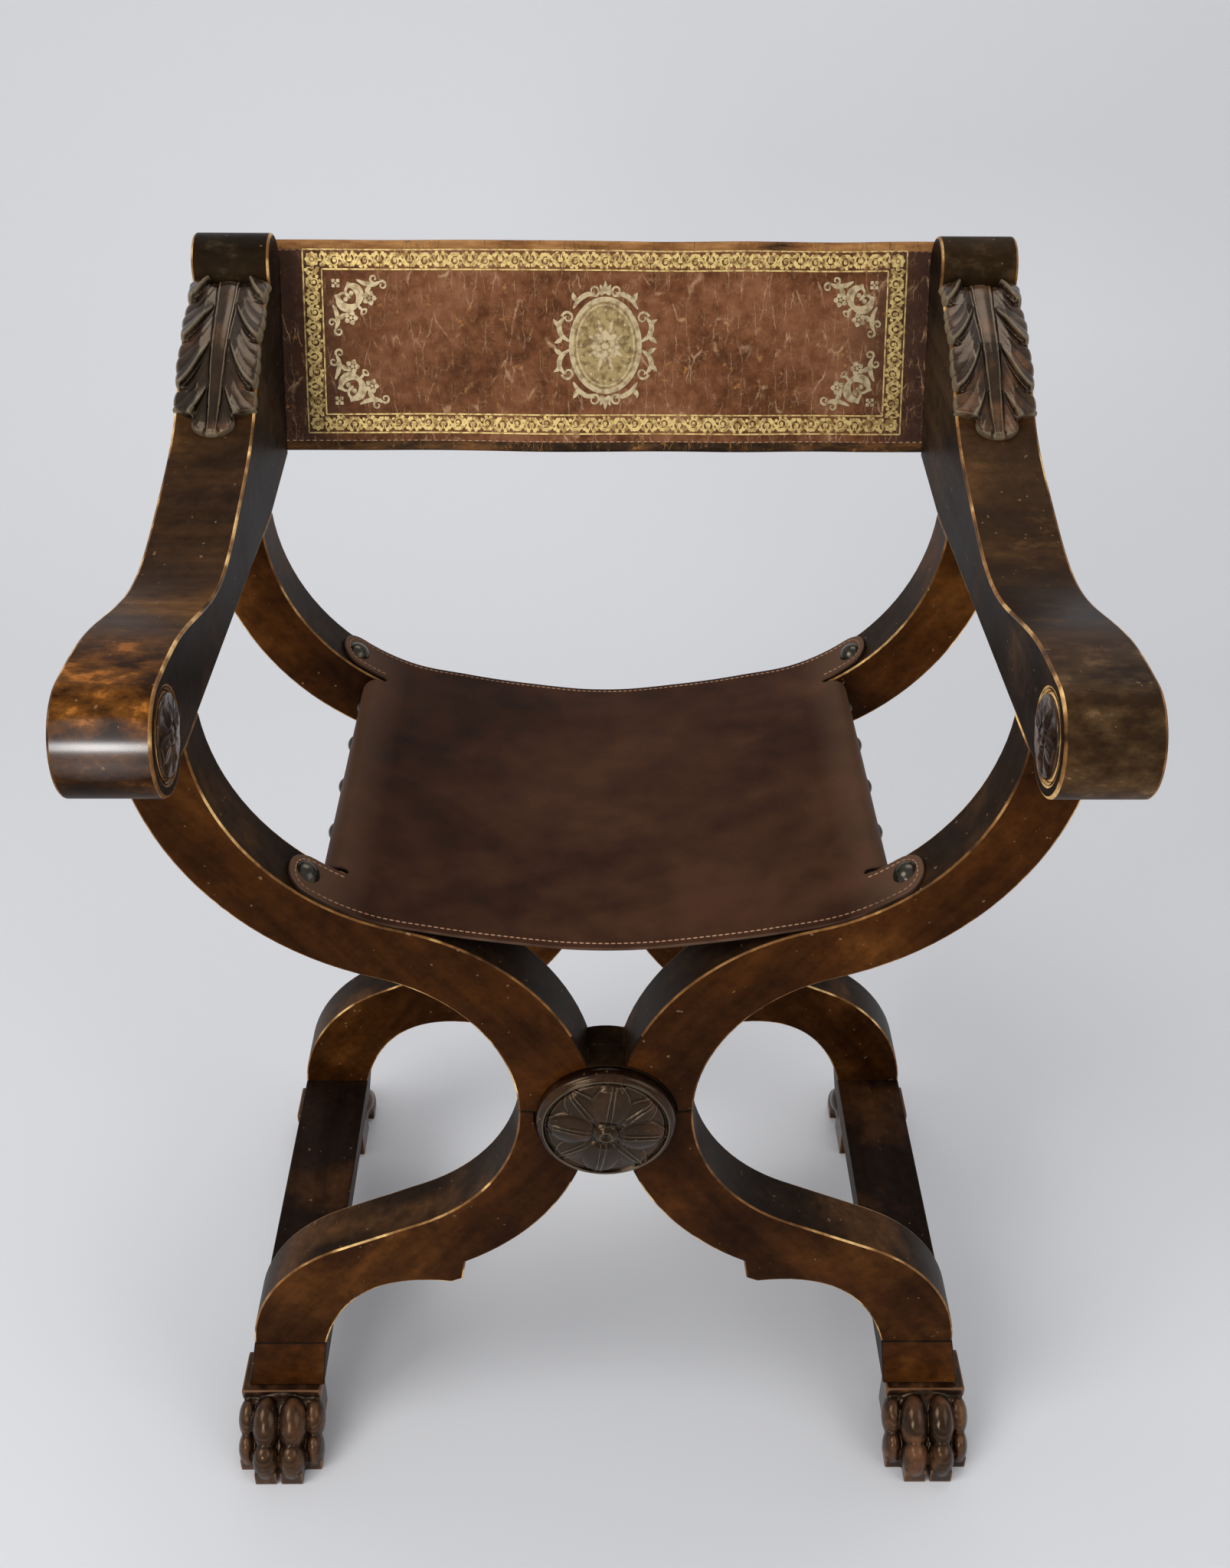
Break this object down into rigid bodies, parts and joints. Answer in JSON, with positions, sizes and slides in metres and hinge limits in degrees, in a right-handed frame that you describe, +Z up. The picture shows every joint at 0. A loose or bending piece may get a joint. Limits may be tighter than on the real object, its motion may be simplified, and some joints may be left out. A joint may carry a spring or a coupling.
{
  "type": "folding x-frame armchair",
  "caption": "Folding armchair on two crossed X frames with scroll-ended sawn arms, runners on paw feet, a slung leather seat and a leather back band.",
  "frame": {"origin": "middle of the bounding box's base, on the floor", "axes": "+X across the chair, to the right for someone who looks at its front; +Y towards the back; +Z up"},
  "size_m": [0.6012, 0.5246, 0.8109],
  "materials": {
    "walnut": "dark stained walnut, waxed, worn golden on the edges",
    "carved_walnut": "carved walnut, nearly black in the hollows, glossy wax",
    "dowel_wood": "plain beech dowel",
    "seat_leather": "thick brown leather, worn, with darker patches and tan stitching",
    "back_leather": "red-brown leather with cracked surface and gold tooling",
    "nail_brass": "old dull brass",
    "bolt_steel": "darkened steel"
  },
  "bodies": {
    "frame_a": {"front_member_a": "walnut", "rear_member_a": "walnut", "arm_left": "walnut", "seat_rail_left": "walnut", "runner_right": "walnut", "paw_front_right": "carved_walnut", "paw_rear_right": "carved_walnut", "pivot_bolt_front": "bolt_steel", "pivot_bolt_rear": "bolt_steel", "pivot_washer_front": "bolt_steel", "pivot_washer_rear": "bolt_steel", "pivot_nut_front": "bolt_steel", "pivot_nut_rear": "bolt_steel", "boss_front": "carved_walnut", "boss_rear": "carved_walnut", "leather_seat": "seat_leather", "leather_back": "back_leather", "seat_nails_left": "nail_brass", "tab_nails_left": "nail_brass", "back_nails_left": "nail_brass", "arm_dowels_left": "dowel_wood", "rail_dowels_left": "dowel_wood", "foot_dowels_right": "dowel_wood", "paw_dowels_right": "dowel_wood"},
    "frame_b": {"front_member_b": "walnut", "rear_member_b": "walnut", "arm_right": "walnut", "seat_rail_right": "walnut", "runner_left": "walnut", "paw_front_left": "carved_walnut", "paw_rear_left": "carved_walnut", "seat_nails_right": "nail_brass", "tab_nails_right": "nail_brass", "back_nails_right": "nail_brass", "arm_dowels_right": "dowel_wood", "rail_dowels_right": "dowel_wood", "foot_dowels_left": "dowel_wood", "paw_dowels_left": "dowel_wood"}
  },
  "joints": [
    {"name": "fold", "type": "hinge", "parent": "frame_a", "child": "frame_b", "pos_m": [0, 0, 0.342], "axis": [0, -1, 0], "range_deg": [0, 29], "deforming": ["leather_seat", "leather_back"]}
  ]
}
